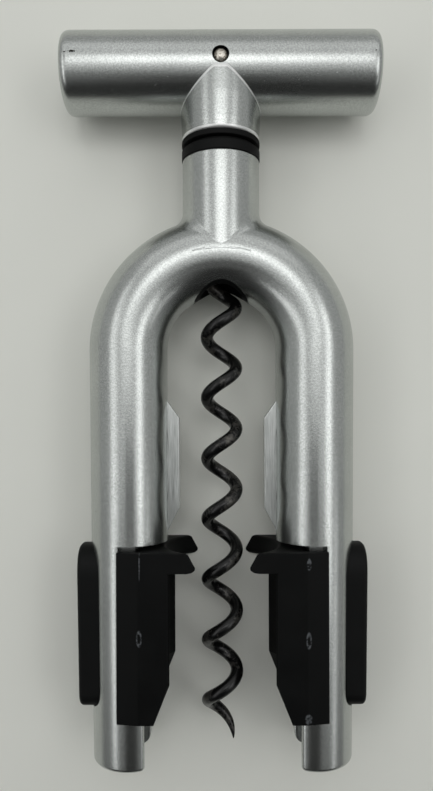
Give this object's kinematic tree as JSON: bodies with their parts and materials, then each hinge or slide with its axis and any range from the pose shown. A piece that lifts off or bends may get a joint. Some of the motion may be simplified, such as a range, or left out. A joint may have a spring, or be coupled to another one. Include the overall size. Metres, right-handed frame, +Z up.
{
  "type": "self-pulling corkscrew",
  "caption": "Self-pulling corkscrew: a T handle drives a right-hand worm through a U-shaped metal frame with black spring-back jaws for a bottle's neck.",
  "frame": {"origin": "centre of the bounding box at the surface that it lies on", "axes": "it lies on its back: +X to the right, +Y along the worm towards the handle, +Z up from the surface"},
  "size_m": [0.0724, 0.1678, 0.0222],
  "materials": {
    "satin_casting": "satin-plated zinc casting, fine blasted grain",
    "brushed_plate": "brushed flat with bright bevelled edges",
    "bright_steel": "bright drawn steel",
    "black_coated_steel": "black slick-coated steel wire, worn grey in patches",
    "black_plastic": "moulded matte black, scuffed along the ridges",
    "black_rubber": "plain black, slightly soft"
  },
  "bodies": {
    "frame": {"frame_casting": "satin_casting", "neck_sleeve": "black_plastic", "left_cork_fin": "brushed_plate", "right_cork_fin": "brushed_plate", "left_upper_pad_spring": "bright_steel", "left_lower_pad_spring": "bright_steel", "right_upper_pad_spring": "bright_steel", "right_lower_pad_spring": "bright_steel"},
    "washer": {"thrust_washer": "black_rubber"},
    "handle": {"handle_bar": "satin_casting", "handle_collar": "satin_casting", "cross_pin": "bright_steel", "spindle": "bright_steel", "worm": "black_coated_steel"},
    "left_clamp": {"left_jaw": "black_plastic", "left_squeeze_pad": "black_plastic", "left_upper_jaw_screw": "bright_steel", "left_lower_jaw_screw": "bright_steel"},
    "right_clamp": {"right_jaw": "black_plastic", "right_squeeze_pad": "black_plastic", "right_upper_jaw_screw": "bright_steel", "right_lower_jaw_screw": "bright_steel"}
  },
  "joints": [
    {"name": "handle_lift", "type": "slide", "parent": "frame", "child": "washer", "axis": [0, 1, 0], "range_m": [0, 0.045]},
    {"name": "handle_turn", "type": "hinge", "parent": "washer", "child": "handle", "pos_m": [0, 0.0587, 0.0111], "axis": [0, 1, 0], "continuous": true},
    {"name": "left_jaw_squeeze", "type": "slide", "parent": "frame", "child": "left_clamp", "axis": [1, 0, 0], "range_m": [0, 0.0015], "stiffness_N_per_m": 1500, "springref_m": -0.001, "deforming": ["left_upper_pad_spring", "left_lower_pad_spring"]},
    {"name": "right_jaw_squeeze", "type": "slide", "parent": "frame", "child": "right_clamp", "axis": [-1, 0, 0], "range_m": [0, 0.0015], "stiffness_N_per_m": 1500, "springref_m": -0.001, "deforming": ["right_upper_pad_spring", "right_lower_pad_spring"]}
  ]
}
